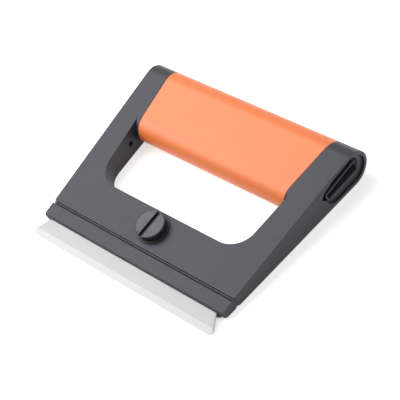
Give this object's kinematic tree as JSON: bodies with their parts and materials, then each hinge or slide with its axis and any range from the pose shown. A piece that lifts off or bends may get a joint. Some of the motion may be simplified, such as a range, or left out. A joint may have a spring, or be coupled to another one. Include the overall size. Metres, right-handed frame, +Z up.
{
  "type": "razor blade scraper",
  "caption": "Wide hand scraper with a wedge-shaped frame, a finger window, a soft grip, blade storage in the handle and a screw clamp that holds a ceramic blade.",
  "frame": {"origin": "middle of the footprint, on the plane that the underside rests on", "axes": "+X along the blade, from the closed end of the handle to its open end; +Y from the blade to the handle; +Z up from the underside to the top panel"},
  "size_m": [0.1312, 0.1134, 0.0202],
  "materials": {
    "dark_moulding": "matte",
    "orange_rubber": "matte",
    "white_ceramic": "satin",
    "grey_metal": "satin",
    "bright_steel": "satin",
    "dark_aluminium": "satin",
    "plain_brass": "satin"
  },
  "bodies": {
    "frame": {"frame": "dark_moulding", "grip": "orange_rubber", "storage_sleeve": "dark_moulding", "nose_bar": "dark_moulding", "nose_screws": "bright_steel", "guide_pins": "bright_steel", "screw_bush": "plain_brass"},
    "screw": {"clamp_screw": "grey_metal", "screw_washer": "grey_metal", "retaining_ring": "bright_steel"},
    "jaw": {"clamp_plate": "dark_aluminium", "clamp_nut": "plain_brass"},
    "blade": {"blade": "white_ceramic"}
  },
  "joints": [
    {"name": "screw_turn", "type": "hinge", "parent": "frame", "child": "screw", "pos_m": [0, -0.02715, 0.00865], "axis": [0, -0.1564, 0.9877], "range_deg": [0, 810]},
    {"name": "jaw_open", "type": "slide", "parent": "frame", "child": "jaw", "axis": [0, 0.1564, -0.9877], "range_m": [0, 0.0018]},
    {"name": "blade_slide", "type": "slide", "parent": "frame", "child": "blade", "axis": [0, -0.9877, -0.1564], "range_m": [0, 0.009]}
  ],
  "couplings": [
    {"joint": "screw_turn", "follows": "jaw_open", "rad_per_m": 7853.9}
  ]
}
